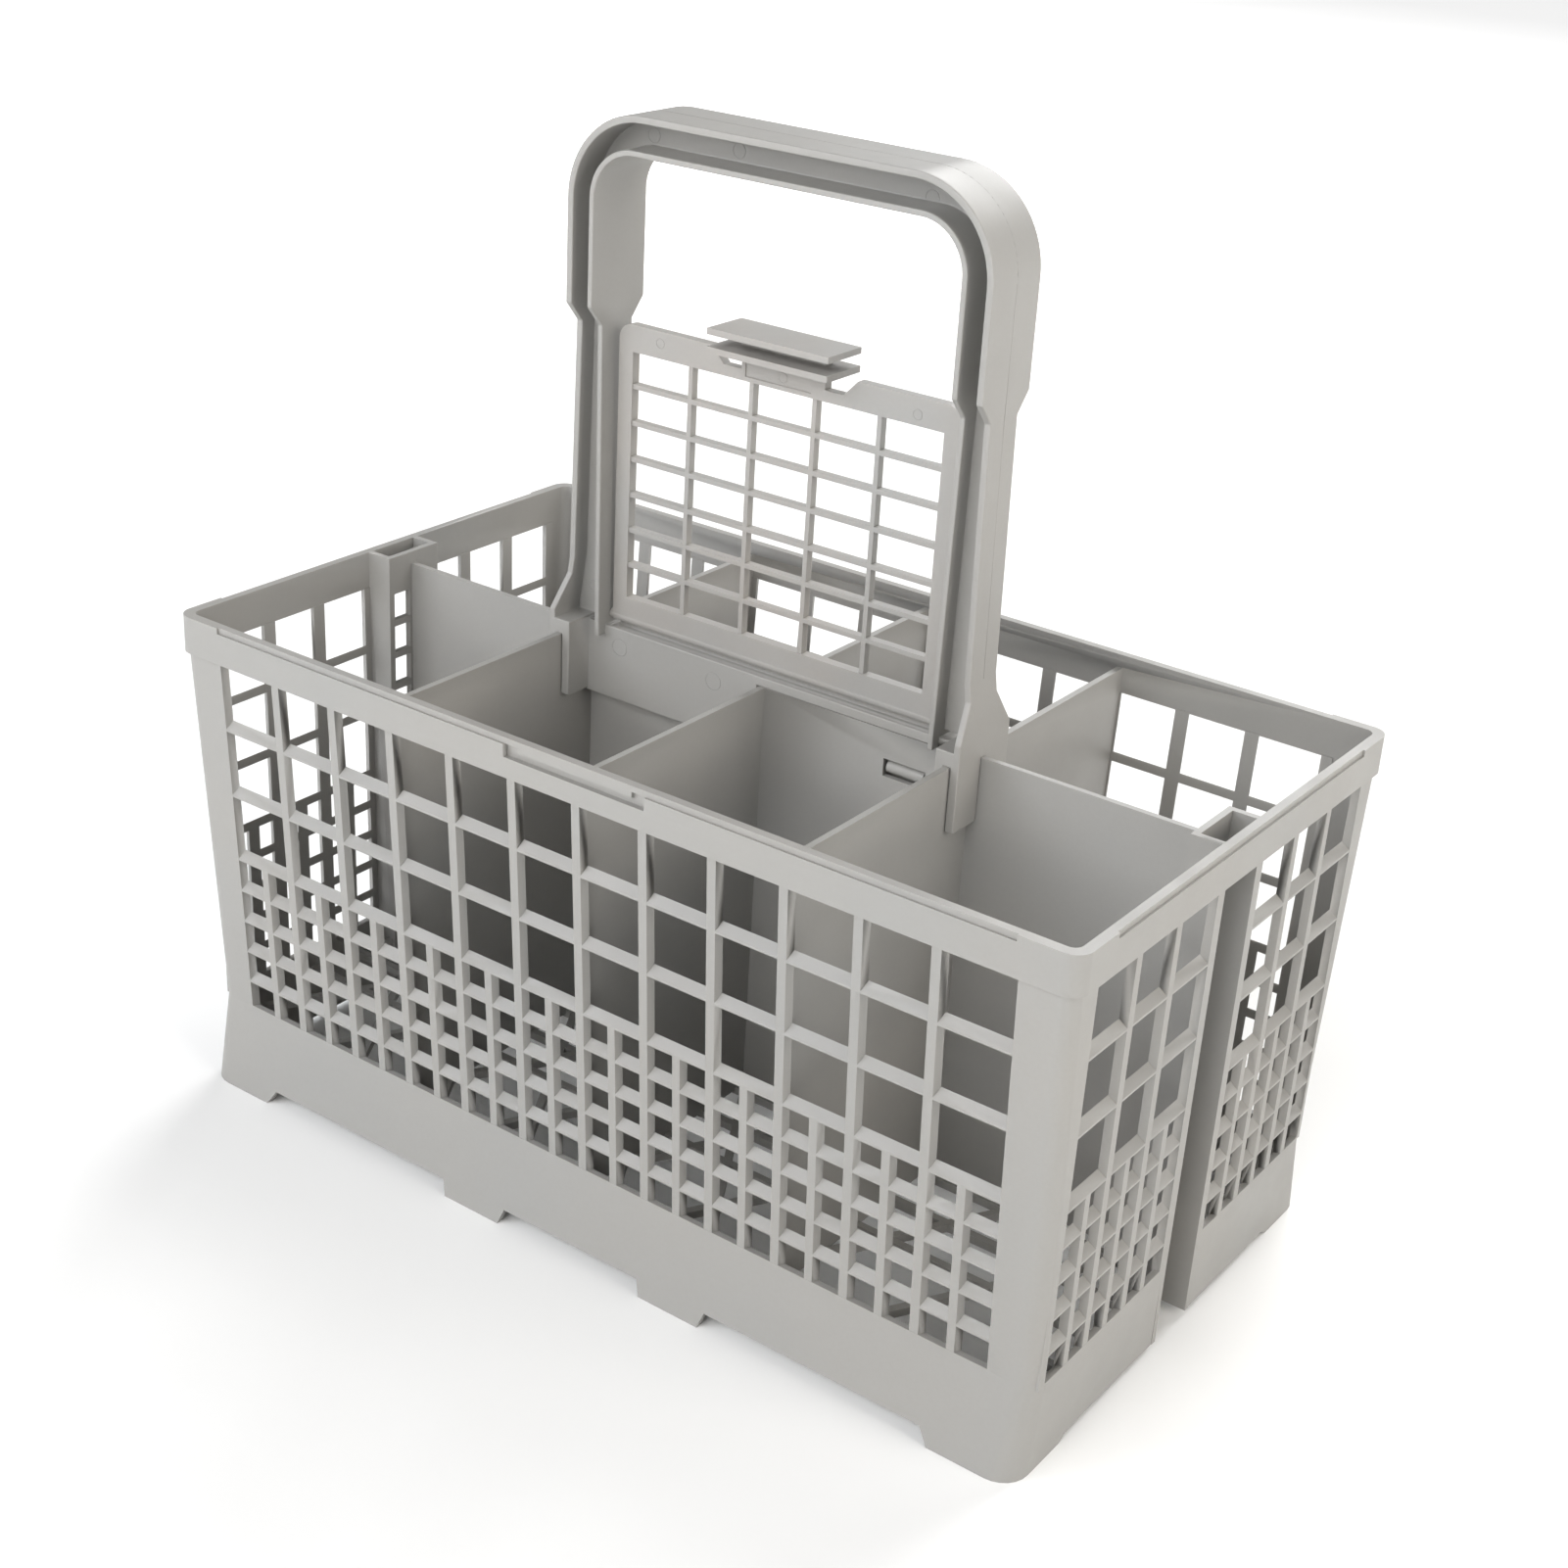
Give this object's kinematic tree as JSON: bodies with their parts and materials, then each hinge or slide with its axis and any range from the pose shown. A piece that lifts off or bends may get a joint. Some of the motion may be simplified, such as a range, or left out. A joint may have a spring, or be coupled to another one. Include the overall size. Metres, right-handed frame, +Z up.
{
  "type": "dishwasher basket",
  "caption": "Rectangular dishwasher cutlery basket with grille walls, dividers, a flared skirt, an arched snap-in handle and a folding grille lid.",
  "frame": {"origin": "middle of the footprint, at the level the feet stand on", "axes": "+X along the basket's long side, -Y towards the long wall with the latch recess, +Z up towards the handle"},
  "size_m": [0.24, 0.135, 0.242],
  "materials": {
    "basket_plastic": "satin light grey polypropylene",
    "handle_plastic": "satin light grey polypropylene",
    "lid_plastic": "satin light grey polypropylene"
  },
  "bodies": {
    "basket": {"basket": "basket_plastic", "handle": "handle_plastic"},
    "lid": {"lid": "lid_plastic"}
  },
  "joints": [
    {"name": "lid_hinge", "type": "hinge", "parent": "basket", "child": "lid", "pos_m": [0, 0, 0.1256], "axis": [1, 0, 0], "range_deg": [0, 90]}
  ]
}
